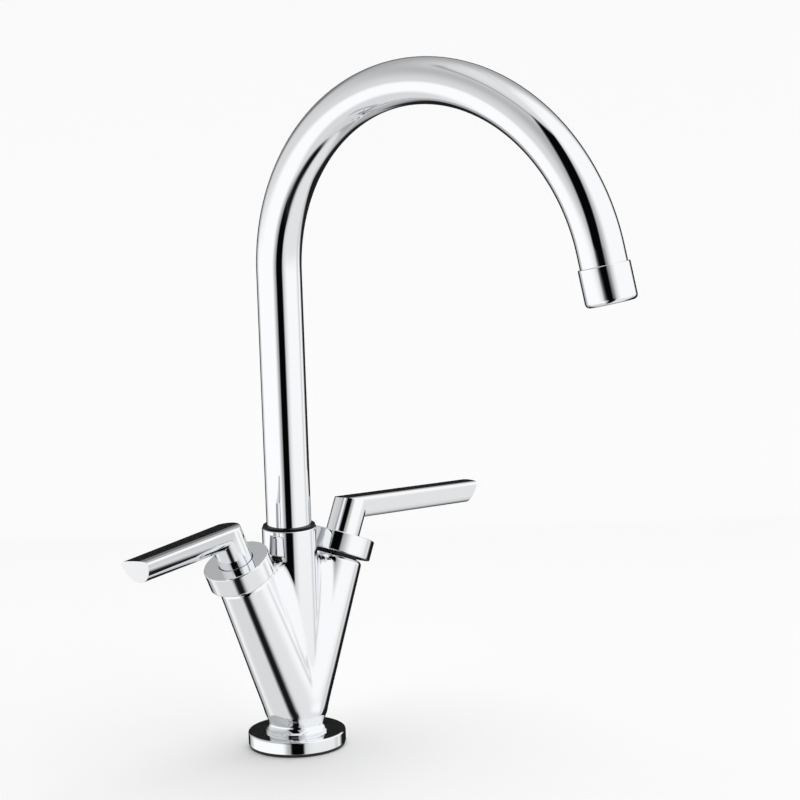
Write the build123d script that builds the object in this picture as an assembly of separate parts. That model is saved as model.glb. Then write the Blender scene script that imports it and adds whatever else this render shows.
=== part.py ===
from build123d import *
import os
from math import cos, pi, radians, sin, sqrt

# A two handle kitchen tap: a three-legged brass body on a round flange, a swan neck spout that turns in
# the centre post, and a quarter turn lever on each arm. Millimetres. The origin is on the worktop at the
# centre of the base, +Z is up, -Y is the front, where the user stands, and the hot side is -X.

os.makedirs("parts", exist_ok=True)

# ---- Clearances
running_gap = 0.05  # radial, a shaft that turns in its bore
passing_gap = 0.3  # between moving faces that don't guide each other
seat_gap = 0.1  # radial, a fixed piece in its seat
face_film = 0.02  # the water film between two faces that slide on each other
overshoot = 1.0  # how far a cutting tool runs past the face that it opens

# ---- Base
flange_d = 48.0
flange_top = 7.7  # height of the flange's top face above the worktop
flange_edge_round = 0.8
flange_wall = 2.2
gasket_t = 1.5
gasket_inset = 0.5  # the gasket's rim stands this far inside the flange's
gasket_w = 10.2

# ---- Body casting
foot_lip_d = 31.0  # the foot's thin lip, which sits on the flange
foot_lip_t = 1.2
neck_d = 27.5  # the narrowest place, above the lip
neck_z = 12.6
foot_bend_out_share = 0.25  # the middle of the hollow curve, between the neck's and the lip's radii
foot_bend_up_share = 0.35  # and between the lip's and the neck's heights
root_d = 30.8  # the arms' own diameter at the root, by their taper
root_ball_d = 31.1  # the ball in which the post and both arms merge
root_z = 19.4  # where the arms' axes meet the post's
foot_spigot_d = 25.0  # the plug that drops into the flange
foot_spigot_z = 3.0
post_d = 26.6
post_top = 110.1
post_edge_round = 0.4
arm_tilt = 23.85  # degrees from upright
arm_start = 2.0  # where an arm leaves the ball, along its axis
arm_len = 76.8  # along the arm's axis, from the post's axis to the arm's top face
arm_top_d = 26.0
arm_shoulder_round = 1.5
crease_round = 3.0  # where the arms and the post grow out of each other

# ---- Inlets and fixing holes in the underside
inlet_spacing = 13.0
inlet_d = 9.0  # core diameter of the M10 x 1 thread
inlet_depth = 11.0
stud_spacing = 17.0
stud_hole_d = 5.0  # core diameter of the M6 thread
stud_hole_depth = 12.0
thread_chamfer = 0.5

# ---- Waterways
feed_d = 8.0
return_d = 6.0
mixing_d = 17.0
mixing_low = 56.0

# ---- Spout
tube_d = 22.0
tube_wall = 1.2
rise_top = 235.4  # where the rising tube ends and the bend begins
bend_r = 94.6
bend_deg = 166.5
outlet_run = 6.9  # straight tube between the bend and the aerator
spout_swing = 7.4  # degrees towards +X from straight ahead, as photographed

# ---- Spout's seat in the post
bearing_flange_t = 1.2
bearing_inset = 0.5  # the black ring's rim stands this far inside the post's
bearing_wall = 0.95
bearing_depth = 6.0
bearing_lip_t = 0.8
spigot_d = 19.9
spigot_bore_d = 14.0
spigot_low = 74.0
spigot_lead = 0.8  # chamfer that eases its seals in
spigot_collar_t = 1.0
spigot_plug_len = 12.0
spout_seal_wire = 1.8
spout_seal_heights = (80.0, 98.0)
retaining_groove_z = 89.0
retaining_groove_d = 17.2
retaining_groove_w = 5.6
retaining_screw_d = 5.0
screw_recess = 0.7  # how far a grub screw's outer end lies below the surface
hex_key_share = 0.5  # a grub screw's key size as a share of its diameter
hex_key_depth_share = 0.5  # and its key socket's depth as a share of its length
screw_point_share = 0.12  # and the chamfer of its point as a share of its diameter

# ---- Aerator
aerator_d = 24.0
aerator_len = 17.5
aerator_end_round = 2.2
aerator_top_round = 0.5
aerator_engagement = 7.4  # how far the tube's end goes into the housing
aerator_washer_t = 1.6
aerator_washer_lip = 1.0  # how far the washer reaches in past the tube's wall
aerator_flange_t = 1.6
aerator_mouth_d = 18.6
aerator_insert_recess = 0.8
aerator_rim_t = 1.0
aerator_rib_pitch = 2.6
aerator_rib_t = 0.6
aerator_rib_h = 3.0

# ---- Ceramic disc valve, measured along its arm
valve_depth = 28.8  # from the arm's top face down to the seat
valve_thread_len = 13.0
valve_thread_height = 0.9  # the threaded part stands this far proud of the skirt
valve_skirt_wall = 1.0
valve_hex_step = 0.1  # the hexagon's flats stand this far proud of the thread
valve_hex_t = 3.0
valve_neck_d = 17.9
valve_neck_len = 5.4
valve_neck_chamfer = 0.3
seat_seal_h = 4.0
seat_seal_flange_h = 2.5
seat_seal_bore_d = 10.0
disc_d = 15.8
disc_t = 3.0
disc_port_r = 5.6
disc_port_gap = 2.4  # wall left between a disc's two ports
disc_hub_d = 4.0
disc_key_w = 2.4  # the cartridge's two keys that stop the lower disc from turning
disc_key_h = 2.5
disc_key_reach = 1.0
driver_t = 3.0
driver_w = 7.0
driver_lug_h = 1.6
driver_lug_w = 2.4
spindle_d = 9.2
spindle_seal_wire = 1.4
spindle_seal_drops = (4.0, 9.0)  # below the arm's top face
valve_seal_wire = 1.4
valve_seal_drop = 1.6
clip_d = 12.0
clip_t = 0.8
clip_groove_depth = 0.6
clip_pocket_d = 13.0
clip_pocket_depth = 2.0
spline_d = 8.0
spline_depth = 0.4
spline_teeth = 20
spline_len = 10.8
window_w = 7.0
turn_stop_r = 6.3  # how far in the cartridge's two turning stops reach
water_belt_depth = 0.7  # the widened belt of the arm's bore round the windows
water_belt_w = 6.0

# ---- Shroud ring
shroud_d = 32.8
shroud_h = 9.9
shroud_lift = 1.2  # the dark gap between the arm's top and the ring
shroud_edge_round = 0.4
shroud_top_wall = 2.5
shroud_hex_room = 0.5

# ---- Lever handle
stem_d = 16.8
lever_angle = 68.2  # degrees between the stem and the lever
lever_rise = 31.3  # from the arm's top face up the stem's axis to the lever's top face
lever_len = 68.4  # from the stem's axis to the tip, along the top face
lever_w_root = 16.6
lever_w_tip = 16.0
lever_t_root = 11.9
lever_t_tip = 11.3
lever_end_slant = 3.1  # the underside ends this much short of the top
lever_edge_round = 1.0
stem_foot_chamfer = 0.5
handle_screw_rise = 15.2  # above the arm's top face
handle_screw_d = 4.0
spline_room = 1.0  # left above the spindle's end
hot_turn = 12.8  # degrees towards the front from straight out, with the valve shut
cold_turn = 14.7

# ---- Worked out from the sizes above
UPWARDS = (Align.CENTER, Align.CENTER, Align.MIN)
post_r = post_d / 2
tube_r = tube_d / 2
tube_bore_r = tube_r - tube_wall
spigot_r = spigot_d / 2
socket_r = spigot_r + running_gap
bearing_low = post_top - bearing_depth
bearing_r = tube_r + running_gap + bearing_wall
collar_low = bearing_low + bearing_lip_t + face_film
tube_low = collar_low + spigot_collar_t
valve_chamber_d = disc_d + 2 * seat_gap
valve_skirt_d = valve_chamber_d + 2 * valve_skirt_wall
valve_thread_d = valve_skirt_d + 2 * valve_thread_height
valve_hex_af = valve_thread_d + 2 * valve_hex_step
water_belt_d = valve_thread_d + 2 * water_belt_depth
seat_s = arm_len - valve_depth
fixed_disc_s = seat_s + seat_seal_h
turning_disc_s = fixed_disc_s + disc_t + face_film
driver_s = turning_disc_s + disc_t
chamber_top_s = driver_s + driver_t + seat_gap
thread_low_s = arm_len - valve_thread_len
neck_low_s = arm_len + valve_hex_t
neck_top_s = neck_low_s + valve_neck_len
shroud_low_s = arm_len + shroud_lift
shroud_top_s = shroud_low_s + shroud_h
spline_top_s = neck_top_s + spline_len
stem_low_s = neck_top_s + passing_gap + seat_gap
stem_r = stem_d / 2
handle_screw_s = arm_len + handle_screw_rise
lever_top_s = arm_len + lever_rise


def rod(radius, low, high):
    """A solid cylinder on the Z axis between two heights."""
    return Pos(0, 0, low) * Cylinder(radius, high - low, align=UPWARDS)


def ring(outer_r, inner_r, low, high):
    """A plain ring on the Z axis between two heights."""
    return rod(outer_r, low, high) - rod(inner_r, low, high)


def drilling(start, end, diameter):
    """A round hole's core between two points."""
    way = Vector(*end) - Vector(*start)
    return Plane(origin=start, z_dir=way) * Cylinder(diameter / 2, way.length, align=UPWARDS)


def o_ring(outer_r, wire_d, height):
    """A rubber ring that reaches out to a radius, with its wire centred at a height."""
    return Pos(0, 0, height) * Torus(outer_r - wire_d / 2, wire_d / 2)


def groove(shaft_r, ring_outer_r, wire_d, height):
    """The groove that a rubber ring lies in, as a ring to cut from a shaft."""
    floor_r = ring_outer_r - wire_d - face_film
    half_w = wire_d / 2 + seat_gap
    return ring(shaft_r + overshoot, floor_r, height - half_w, height + half_w)


def grub_screw(diameter, length):
    """A headless screw on the Z axis with a hexagon key socket in its upper end."""
    key_af = diameter * hex_key_share
    body = rod(diameter / 2 - running_gap, 0, length)
    key_depth = length * hex_key_depth_share
    body = chamfer(body.edges().group_by(Axis.Z)[0], diameter * screw_point_share)
    socket = extrude(RegularPolygon(key_af / 2, 6, major_radius=False), key_depth)
    return body - Pos(0, 0, length - key_depth) * socket


def arm_place(side):
    """An arm's own frame: Z along the arm, X outwards, and side is -1 for hot or +1 for cold."""
    lean = radians(arm_tilt)
    outwards = (side * cos(lean), 0, -sin(lean))
    along = (side * sin(lean), 0, cos(lean))
    return Plane(origin=(0, 0, root_z), x_dir=outwards, z_dir=along)


def arm_point(side, station):
    """The point on an arm's axis at a distance from the post's axis."""
    lean = radians(arm_tilt)
    return (side * station * sin(lean), 0, root_z + station * cos(lean))


# ---- Base

def make_base_flange():
    """The round flange, hollow below, with the bore that takes the body's spigot."""
    bore_r = foot_spigot_d / 2 + seat_gap
    flange = ring(flange_d / 2, bore_r, gasket_t, flange_top)
    top_rim = flange.edges().filter_by(GeomType.CIRCLE).group_by(Axis.Z)[-1].sort_by(SortBy.RADIUS)[-1]
    flange = fillet(top_rim, flange_edge_round)
    hollow_low = gasket_t
    hollow_high = flange_top - flange_wall
    hollow = ring(flange_d / 2 - flange_wall, bore_r + flange_wall, hollow_low, hollow_high)
    return flange - hollow


def make_base_gasket():
    """The rubber ring between the flange and the worktop."""
    outer_r = flange_d / 2 - gasket_inset
    return ring(outer_r, outer_r - gasket_w, 0, gasket_t)


# ---- Body casting

def make_foot():
    """The flared foot: spigot, thin lip and the hollow curve up to the neck."""
    lip_r = foot_lip_d / 2
    lip_top = flange_top + foot_lip_t
    neck_r = neck_d / 2
    bend_x = neck_r + (lip_r - neck_r) * foot_bend_out_share
    bend_z = lip_top + (neck_z - lip_top) * foot_bend_up_share
    outline = Polyline(
        (neck_r, neck_z),
        (0, neck_z),
        (0, foot_spigot_z),
        (foot_spigot_d / 2, foot_spigot_z),
        (foot_spigot_d / 2, flange_top),
        (lip_r, flange_top),
        (lip_r, lip_top),
    )
    flare = ThreePointArc((lip_r, lip_top), (bend_x, bend_z), (neck_r, neck_z))
    return revolve(Plane.XZ * make_face(outline + flare), Axis.Z)


def make_arm(side):
    """One plain tapered arm from the root ball to its rounded top."""
    taper = (root_d - arm_top_d) / 2 / arm_len
    start_r = root_d / 2 - taper * arm_start
    arm = Pos(0, 0, arm_start) * Cone(start_r, arm_top_d / 2, arm_len - arm_start, align=UPWARDS)
    arm = fillet(arm.edges().group_by(Axis.Z)[-1], arm_shoulder_round)
    return arm_place(side) * arm


def make_body_shape():
    """The outside of the casting, with the creases between post and arms rounded."""
    post = rod(post_r, root_z, post_top)
    post = fillet(post.edges().group_by(Axis.Z)[-1], post_edge_round)
    shape = post + make_arm(-1) + make_arm(1)
    plain = (GeomType.LINE, GeomType.CIRCLE, GeomType.ELLIPSE)
    creases = [edge for edge in shape.edges() if edge.geom_type not in plain and edge.center().Z > root_z]
    shape = fillet(creases, crease_round)
    ball = Pos(0, 0, root_z) * Sphere(root_ball_d / 2)
    ball -= rod(root_ball_d, root_z - root_ball_d, neck_z)
    return shape + ball + make_foot()


def make_arm_bore():
    """What is bored out of an arm for its valve, in the arm's own frame."""
    thread = rod(valve_thread_d / 2 + running_gap, thread_low_s, arm_len + overshoot)
    skirt = rod(valve_skirt_d / 2 + seat_gap, seat_s, arm_len)
    belt_mid_s = (driver_s + chamber_top_s) / 2
    belt = rod(water_belt_d / 2, belt_mid_s - water_belt_w / 2, belt_mid_s + water_belt_w / 2)
    return thread + skirt + belt


def threaded_core(diameter, depth):
    """A tapped hole's core with its chamfered mouth at height 0, going up."""
    mouth_r = diameter / 2 + thread_chamfer
    mouth = Cone(mouth_r, diameter / 2, thread_chamfer, align=UPWARDS)
    return rod(diameter / 2, 0, depth) + mouth


def make_body_casting():
    """The whole casting with its bores, waterways and tapped holes."""
    body = make_body_shape()
    body -= rod(bearing_r + seat_gap, bearing_low, post_top + overshoot)
    body -= rod(socket_r, mixing_low, post_top)
    body -= rod(mixing_d / 2, mixing_low, spigot_low)
    port_top = foot_spigot_z + inlet_depth
    for side in (-1, 1):
        body -= arm_place(side) * make_arm_bore()
        port_x = side * inlet_spacing / 2
        body -= Pos(port_x, 0, foot_spigot_z) * threaded_core(inlet_d, inlet_depth)
        body -= drilling((port_x, 0, port_top - overshoot), arm_point(side, seat_s + overshoot), feed_d)
        belt_s = (driver_s + chamber_top_s) / 2
        body -= drilling(arm_point(side, belt_s), (0, 0, mixing_low + return_d), return_d)
        body -= Pos(0, side * stud_spacing / 2, foot_spigot_z) * threaded_core(stud_hole_d, stud_hole_depth)
    screw_hole = drilling((0, 0, retaining_groove_z), (0, post_d, retaining_groove_z), retaining_screw_d)
    return body - screw_hole


# ---- Spout

def spout_path():
    """The tube's centreline: straight up, round the bend, and the straight end inside the aerator."""
    rise = Line((0, 0, tube_low), (0, 0, rise_top))
    bend_plane = Plane(origin=(0, -bend_r, rise_top), x_dir=(0, 1, 0), z_dir=(1, 0, 0))
    bend = bend_plane * CenterArc((0, 0), bend_r, 0, bend_deg)
    outlet = Line(bend @ 1, bend @ 1 + (bend % 1) * (outlet_run + aerator_engagement))
    return rise + bend + outlet


def outlet_place():
    """The frame at the aerator's top, with Z along the water's way out."""
    turn = radians(bend_deg)
    water_way = Vector(0, -sin(turn), cos(turn))
    bend_end = Vector(0, -bend_r + bend_r * cos(turn), rise_top + bend_r * sin(turn))
    return Plane(origin=bend_end + water_way * outlet_run, x_dir=(1, 0, 0), z_dir=water_way)


def make_spout_tube():
    """The swan neck tube, swept along its centreline."""
    section = Plane(origin=(0, 0, tube_low)) * (Circle(tube_r) - Circle(tube_bore_r))
    return sweep(section, path=spout_path())


def make_spout_spigot():
    """The turned brass foot of the spout, with its plug, collar, seal grooves and retaining groove."""
    collar_high = tube_low
    spigot = rod(spigot_r, spigot_low, collar_low)
    spigot = chamfer(spigot.edges().group_by(Axis.Z)[0], spigot_lead)
    spigot += rod(tube_r, collar_low, collar_high)
    spigot += rod(tube_bore_r - running_gap, collar_high, collar_high + spigot_plug_len)
    spigot -= rod(spigot_bore_d / 2, spigot_low, collar_high + spigot_plug_len)
    for height in spout_seal_heights:
        spigot -= groove(spigot_r, spigot_r, spout_seal_wire, height)
    half_w = retaining_groove_w / 2
    low, high = retaining_groove_z - half_w, retaining_groove_z + half_w
    return spigot - ring(spigot_r + overshoot, retaining_groove_d / 2, low, high)


def make_spout_seals():
    """Two rubber rings on the spigot."""
    return [o_ring(spigot_r, spout_seal_wire, height) for height in spout_seal_heights]


def make_bearing_ring():
    """The black ring in the post's mouth: rim, sleeve and the lip that carries the spout."""
    guide_r = tube_r + running_gap
    sleeve = ring(bearing_r, guide_r, bearing_low, post_top)
    rim = ring(post_r - bearing_inset, guide_r, post_top, post_top + bearing_flange_t)
    lip = ring(bearing_r, socket_r, bearing_low, bearing_low + bearing_lip_t)
    return sleeve + rim + lip


def make_retaining_screw():
    """The grub screw in the rear of the post, its point in the spigot's groove."""
    inner_y = retaining_groove_d / 2 + passing_gap
    length = post_r - screw_recess - inner_y
    place = Plane(origin=(0, inner_y, retaining_groove_z), x_dir=(1, 0, 0), z_dir=(0, 1, 0))
    return place * grub_screw(retaining_screw_d, length)


# ---- Aerator, in the outlet's frame

def make_aerator_housing():
    """The chrome cap that screws on the tube's end."""
    thread_r = tube_r + running_gap
    ledge = aerator_engagement + aerator_washer_t + aerator_flange_t
    housing = rod(aerator_d / 2, 0, aerator_len)
    rims = housing.edges().group_by(Axis.Z)
    housing = fillet(rims[-1], aerator_end_round)
    housing = fillet(housing.edges().group_by(Axis.Z)[0], aerator_top_round)
    housing -= rod(thread_r, 0, ledge)
    return housing - rod(aerator_mouth_d / 2, 0, aerator_len)


def make_aerator_washer():
    """The rubber washer between the tube's end and the insert."""
    low = aerator_engagement
    return ring(tube_r, tube_bore_r - aerator_washer_lip, low, low + aerator_washer_t)


def make_aerator_insert():
    """The plastic insert: a flanged cup whose mouth is a grid of thin ribs."""
    low = aerator_engagement + aerator_washer_t
    end = aerator_len - aerator_insert_recess
    barrel_r = aerator_mouth_d / 2 - seat_gap
    bore_r = barrel_r - aerator_rim_t
    cup = rod(tube_r, low, low + aerator_flange_t) + rod(barrel_r, low, end)
    cup -= rod(bore_r, low, end)
    reach = int(bore_r / aerator_rib_pitch)
    grid = []
    for step in range(-reach, reach + 1):
        offset = step * aerator_rib_pitch
        rib = Box(aerator_rib_t, 2 * barrel_r, aerator_rib_h, align=UPWARDS)
        grid.append(Pos(offset, 0, end - aerator_rib_h) * rib)
        grid.append(Pos(0, offset, end - aerator_rib_h) * Rot(0, 0, 90) * rib)
    grid = grid[0].fuse(*grid[1:]) & rod(barrel_r - aerator_rim_t / 2, end - aerator_rib_h, end)
    return cup + grid


# ---- Valve, in its arm's frame

def disc_ports():
    """The two facing ports of a ceramic disc, as a flat sketch."""
    inset = disc_port_gap / 2 * sqrt(2)
    quarter = Polygon((inset, 0), (disc_d, inset - disc_d), (disc_d, disc_d - inset), align=None)
    band = Circle(disc_port_r) - Circle(disc_hub_d / 2)
    return band & (quarter + Rot(0, 0, 180) * quarter)


def make_fixed_disc():
    """The lower ceramic disc, which stays in the cartridge."""
    disc = rod(disc_d / 2, fixed_disc_s, fixed_disc_s + disc_t)
    disc -= Pos(0, 0, fixed_disc_s) * extrude(disc_ports(), disc_t)
    return disc - disc_keys(seat_gap)


def disc_keys(room):
    """The cartridge's two keys in the lower disc, grown by a clearance for the disc's own notches."""
    depth = disc_key_reach + room
    width = disc_key_w + 2 * room
    mid_r = valve_chamber_d / 2 - disc_key_reach + depth / 2 - room
    key = Box(depth, width, disc_key_h + room, align=UPWARDS)
    return [Pos(side * mid_r, 0, fixed_disc_s) * key for side in (-1, 1)]


def make_turning_disc():
    """The upper ceramic disc, a quarter turn off the lower one, with the slots that the spindle drives."""
    disc = rod(disc_d / 2, turning_disc_s, driver_s)
    disc -= Pos(0, 0, turning_disc_s) * Rot(0, 0, 90) * extrude(disc_ports(), disc_t)
    slot_w = driver_lug_w + 2 * seat_gap
    for side in (-1, 1):
        slot = Box(disc_d / 2, slot_w, driver_lug_h + seat_gap, align=UPWARDS)
        disc -= Pos(side * disc_d / 2, 0, driver_s - driver_lug_h - seat_gap) * slot
    return disc


def make_seat_seal():
    """The rubber seal under the fixed disc, with the flange that the cartridge stands on."""
    bore_r = seat_seal_bore_d / 2
    flange = ring(valve_skirt_d / 2, bore_r, seat_s, seat_s + seat_seal_flange_h)
    return flange + ring(disc_d / 2, bore_r, seat_s, fixed_disc_s)


def turn_stops():
    """The two stops in the chamber that end the driver bar's quarter turn."""
    inner = driver_w / 2 + seat_gap
    low = driver_s + passing_gap
    corner_up = (Align.MIN, Align.MIN, Align.MIN)
    block = Box(valve_chamber_d, valve_chamber_d, chamber_top_s - low, align=corner_up)
    band = ring(valve_chamber_d / 2 + seat_gap, turn_stop_r, low, chamber_top_s)
    corner = Pos(inner, inner, low) * block & band
    return [corner, Rot(0, 0, 180) * corner]


def make_valve_body():
    """The brass cartridge: windowed skirt, threaded part, hexagon and neck."""
    skirt_low = seat_s + seat_seal_flange_h
    body = rod(valve_skirt_d / 2, skirt_low, thread_low_s)
    body += rod(valve_thread_d / 2, thread_low_s, arm_len)
    hexagon = RegularPolygon(valve_hex_af / 2, 6, major_radius=False)
    body += Pos(0, 0, arm_len) * extrude(hexagon, valve_hex_t)
    body += rod(valve_neck_d / 2, neck_low_s, neck_top_s)
    body = chamfer(body.edges().group_by(Axis.Z)[-1], valve_neck_chamfer)
    body -= rod(valve_chamber_d / 2, skirt_low, chamber_top_s)
    body -= rod(spindle_d / 2 + running_gap, skirt_low, neck_top_s)
    body -= rod(clip_pocket_d / 2, neck_top_s - clip_pocket_depth, neck_top_s)
    window = Box(2 * valve_skirt_d, window_w, chamber_top_s - driver_s, align=UPWARDS)
    body -= Pos(0, 0, driver_s) * window
    body += disc_keys(0) + turn_stops()
    seal_s = arm_len - valve_seal_drop
    return body - groove(valve_thread_d / 2, valve_thread_d / 2, valve_seal_wire, seal_s)


def make_valve_seal():
    """The rubber ring under the cartridge's hexagon."""
    return o_ring(valve_thread_d / 2, valve_seal_wire, arm_len - valve_seal_drop)


def spline_outline(room):
    """The toothed outline of the spindle's top, grown by a clearance for the lever's socket."""
    crest_r = spline_d / 2 + room
    root_r = crest_r - spline_depth
    pitch = 2 * pi / spline_teeth
    corners = []
    for tooth in range(spline_teeth):
        for share, radius in ((-0.3, root_r), (-0.15, crest_r), (0.15, crest_r), (0.3, root_r)):
            turn = (tooth + share) * pitch
            corners.append((radius * cos(turn), radius * sin(turn)))
    return Polygon(*corners, align=None)


def make_spindle():
    """The brass spindle: lugs and driver bar below, sealed journal, circlip groove and splined top."""
    journal_r = spindle_d / 2
    driver_r = valve_chamber_d / 2 - passing_gap
    bar = Box(2 * driver_r, driver_w, driver_t, align=UPWARDS)
    spindle = Pos(0, 0, driver_s) * bar & rod(driver_r, driver_s, driver_s + driver_t)
    for side in (-1, 1):
        lug_len = disc_d / 4 - 2 * seat_gap
        lug = Box(lug_len, driver_lug_w, driver_lug_h, align=UPWARDS)
        spindle += Pos(side * (disc_d / 2 - seat_gap - lug_len / 2), 0, driver_s - driver_lug_h) * lug
    spindle += rod(journal_r, driver_s, neck_top_s)
    spindle += Pos(0, 0, neck_top_s) * extrude(spline_outline(0), spline_len)
    for drop in spindle_seal_drops:
        spindle -= groove(journal_r, journal_r, spindle_seal_wire, arm_len - drop)
    clip_low = neck_top_s - clip_pocket_depth + passing_gap
    clip_r = journal_r - clip_groove_depth
    spindle -= ring(journal_r + overshoot, clip_r, clip_low - seat_gap, clip_low + clip_t + seat_gap)
    waist_r = spline_d / 2 - spline_depth
    half_w = handle_screw_d / 2 + seat_gap
    return spindle - ring(spline_d, waist_r, handle_screw_s - half_w, handle_screw_s + half_w)


def make_spindle_seals():
    """Two rubber rings on the spindle's journal."""
    return [o_ring(spindle_d / 2, spindle_seal_wire, arm_len - drop) for drop in spindle_seal_drops]


def make_spindle_clip():
    """The open circlip that keeps the spindle in its cartridge."""
    low = neck_top_s - clip_pocket_depth + passing_gap
    clip = ring(clip_d / 2, spindle_d / 2 - clip_groove_depth + face_film, low, low + clip_t)
    gap = Box(clip_d, spindle_d / 3, clip_t, align=UPWARDS)
    return clip - Pos(clip_d / 2, 0, low) * gap


def make_shroud_ring():
    """The wide chrome ring that screws on the cartridge's neck and hides it."""
    hex_room_r = valve_hex_af / sqrt(3) + shroud_hex_room
    shroud = rod(shroud_d / 2, shroud_low_s, shroud_top_s)
    shroud = fillet(shroud.edges().filter_by(GeomType.CIRCLE), shroud_edge_round)
    shroud -= rod(hex_room_r, shroud_low_s, neck_low_s + seat_gap)
    shroud -= rod(valve_neck_d / 2 + running_gap, shroud_low_s, neck_top_s + seat_gap)
    return shroud - rod(stem_r + passing_gap, shroud_low_s, shroud_top_s)


# ---- Lever handle, in its arm's frame with the lever pointing outwards

def lever_section(width, thickness):
    """The lever's section: a flat top and a half ellipse below it."""
    ellipse = Ellipse(width / 2, thickness)
    return ellipse & Pos(0, -thickness / 2) * Rectangle(width, thickness)


def make_handle():
    """The chrome handle: a round stem with a socket, mitred into the tapering lever."""
    lean = radians(lever_angle)
    lever_way = (sin(lean), 0, cos(lean))
    top_up = (-cos(lean), 0, sin(lean))
    corner = Vector(0, 0, lever_top_s)
    root = Plane(origin=corner, x_dir=(0, 1, 0), z_dir=lever_way)
    tip = root.offset(lever_len + overshoot)
    root_section = root * lever_section(lever_w_root, lever_t_root)
    tip_section = tip * lever_section(lever_w_tip, lever_t_tip)
    bar = loft([root_section, tip_section])
    end_top = corner + Vector(*lever_way) * lever_len
    end_low = end_top - Vector(*top_up) * lever_t_tip - Vector(*lever_way) * lever_end_slant
    end_plane = Plane(origin=end_top, x_dir=(0, 1, 0), z_dir=(end_low - end_top).cross(Vector(0, 1, 0)))
    bar = split(bar, bisect_by=end_plane, keep=Keep.BOTTOM)
    stem = rod(stem_r, stem_low_s, lever_top_s + stem_d)
    stem = chamfer(stem.edges().group_by(Axis.Z)[0], stem_foot_chamfer)
    top_plane = Plane(origin=corner, x_dir=(0, 1, 0), z_dir=top_up)
    handle = split(stem, bisect_by=top_plane, keep=Keep.BOTTOM) + bar
    tops = [face for face in handle.faces() if face.normal_at(face.center()).dot(Vector(*top_up)) > 0.999]
    rim = [edge for face in tops for edge in face.edges()]
    handle = fillet(rim, lever_edge_round)
    socket_low = stem_low_s - overshoot
    socket_high = spline_top_s + spline_room
    socket = extrude(spline_outline(running_gap), socket_high - socket_low)
    handle -= Pos(0, 0, socket_low) * socket
    screw_hole = drilling((0, 0, handle_screw_s), (0, stem_d, handle_screw_s), handle_screw_d)
    return handle - screw_hole


def make_handle_screw():
    """The grub screw that holds the handle, its point on the spindle's waist."""
    inner_y = spline_d / 2 - spline_depth + face_film
    length = stem_r - screw_recess - inner_y
    place = Plane(origin=(0, inner_y, handle_screw_s), x_dir=(1, 0, 0), z_dir=(0, 1, 0))
    return place * grub_screw(handle_screw_d, length)


def place_side(side, turn, solid):
    """Puts a solid from the arm's own frame on its arm, turned towards the front as its lever is."""
    return arm_place(side) * Rot(0, 0, -side * turn) * solid


def mirrored(solid):
    """The other hand of a solid in its arm's frame, so that both handle screws face the rear."""
    return mirror(solid, about=Plane.XZ)


def write(name, solid):
    """Writes one named piece."""
    export_step(solid, f"parts/{name}.step")


def main():
    """Builds every piece in its place and writes it."""
    write("base_flange", make_base_flange())
    write("base_gasket", make_base_gasket())
    write("body_casting", make_body_casting())
    write("spout_bearing_ring", make_bearing_ring())
    write("spout_retaining_screw", make_retaining_screw())

    swing = Rot(0, 0, spout_swing)
    write("spout_tube", swing * make_spout_tube())
    write("spout_spigot", swing * make_spout_spigot())
    write("spout_seals", Compound([swing * seal for seal in make_spout_seals()]))
    outlet = outlet_place()
    write("aerator_housing", swing * (outlet * make_aerator_housing()))
    write("aerator_washer", swing * (outlet * make_aerator_washer()))
    write("aerator_insert", swing * (outlet * make_aerator_insert()))

    plain_pieces = {
        "seat_seal": make_seat_seal(),
        "valve_seal": make_valve_seal(),
        "shroud_ring": make_shroud_ring(),
    }
    turned_pieces = {
        "fixed_disc": make_fixed_disc(),
        "valve_body": make_valve_body(),
        "turning_disc": make_turning_disc(),
        "spindle": make_spindle(),
        "spindle_clip": make_spindle_clip(),
        "handle": make_handle(),
        "handle_screw": make_handle_screw(),
    }
    spindle_seals = make_spindle_seals()
    for name, side, turn in (("hot", -1, hot_turn), ("cold", 1, cold_turn)):
        for piece, solid in plain_pieces.items():
            write(f"{name}_{piece}", arm_place(side) * solid)
        for piece, solid in turned_pieces.items():
            hand = mirrored(solid) if side < 0 else solid
            write(f"{name}_{piece}", place_side(side, turn, hand))
        seals = [place_side(side, turn, seal) for seal in spindle_seals]
        write(f"{name}_spindle_seals", Compound(seals))


main()
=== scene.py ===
import logging
import math
from abc import ABC, abstractmethod
from dataclasses import dataclass
from enum import Enum
from typing import ClassVar, Iterable, Sequence

import bmesh
import bpy
import numpy as np
from bmesh.types import BMEdge, BMesh, BMFace, BMVert
from bpy.types import Material, Mesh, NodeSocket, NodeTree, Object, ShaderNode
from mathutils import Matrix, Vector


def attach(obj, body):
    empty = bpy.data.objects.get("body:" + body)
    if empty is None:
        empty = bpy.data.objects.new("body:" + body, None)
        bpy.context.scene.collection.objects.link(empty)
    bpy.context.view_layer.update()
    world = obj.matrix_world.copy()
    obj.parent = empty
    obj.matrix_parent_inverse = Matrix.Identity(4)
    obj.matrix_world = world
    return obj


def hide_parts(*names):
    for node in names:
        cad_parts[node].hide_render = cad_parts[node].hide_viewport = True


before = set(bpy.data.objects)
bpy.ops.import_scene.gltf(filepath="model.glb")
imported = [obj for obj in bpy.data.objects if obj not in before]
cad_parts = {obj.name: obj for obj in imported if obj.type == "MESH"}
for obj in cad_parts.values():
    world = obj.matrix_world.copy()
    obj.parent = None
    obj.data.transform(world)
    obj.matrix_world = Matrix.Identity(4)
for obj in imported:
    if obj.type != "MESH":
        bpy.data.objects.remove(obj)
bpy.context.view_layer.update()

LOG = logging.getLogger("kitchen_tap")
MM = 0.001
METRES = Matrix.Scale(MM, 4)
QUARTER_TURN = Matrix.Rotation(math.pi / 2, 4, "X")

# The camera stands at this angle from the tap's front, and the studio is turned with it.
FRONT = math.radians(-44.59)

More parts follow.
